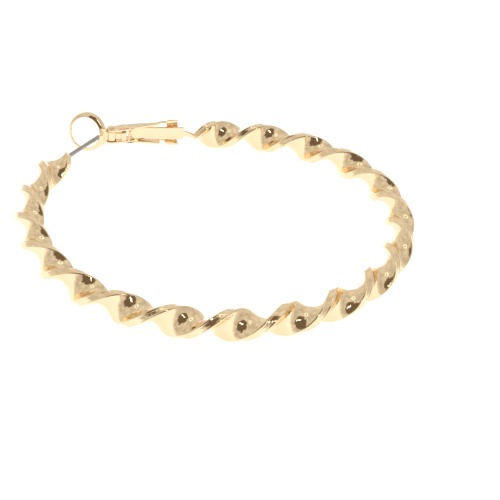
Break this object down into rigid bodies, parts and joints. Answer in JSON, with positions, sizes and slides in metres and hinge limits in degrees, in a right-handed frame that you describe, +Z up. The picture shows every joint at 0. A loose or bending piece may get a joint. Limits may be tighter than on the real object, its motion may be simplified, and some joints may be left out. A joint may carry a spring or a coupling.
{
  "type": "twisted hoop earring",
  "caption": "Large open hoop earring of flat metal strip twisted along its length, with a straight ear post and a ring-lever clip at the back.",
  "frame": {"origin": "middle of the earring's bounding box, on the surface it lies on", "axes": "+Z up from the surface, nearly along the hoop's own axis; +X to the right and +Y away from the viewer, with the clip at the back left"},
  "size_m": [0.06, 0.0601, 0.0063],
  "materials": {
    "polished_gold": "polished, pale yellow gold",
    "clip_gold": "polished, pale yellow gold",
    "grey_titanium": "satin grey"
  },
  "bodies": {
    "hoop": {"twisted_hoop": "polished_gold", "ear_post": "grey_titanium", "clip_frame": "clip_gold", "hinge_pin": "clip_gold"},
    "lever": {"clip_lever": "clip_gold"}
  },
  "joints": [
    {"name": "lever_hinge", "type": "hinge", "parent": "hoop", "child": "lever", "pos_m": [-0.01844, 0.02425, 0.00307], "axis": [-0.0176, 0.019, -0.9997], "range_deg": [0, 70]}
  ]
}
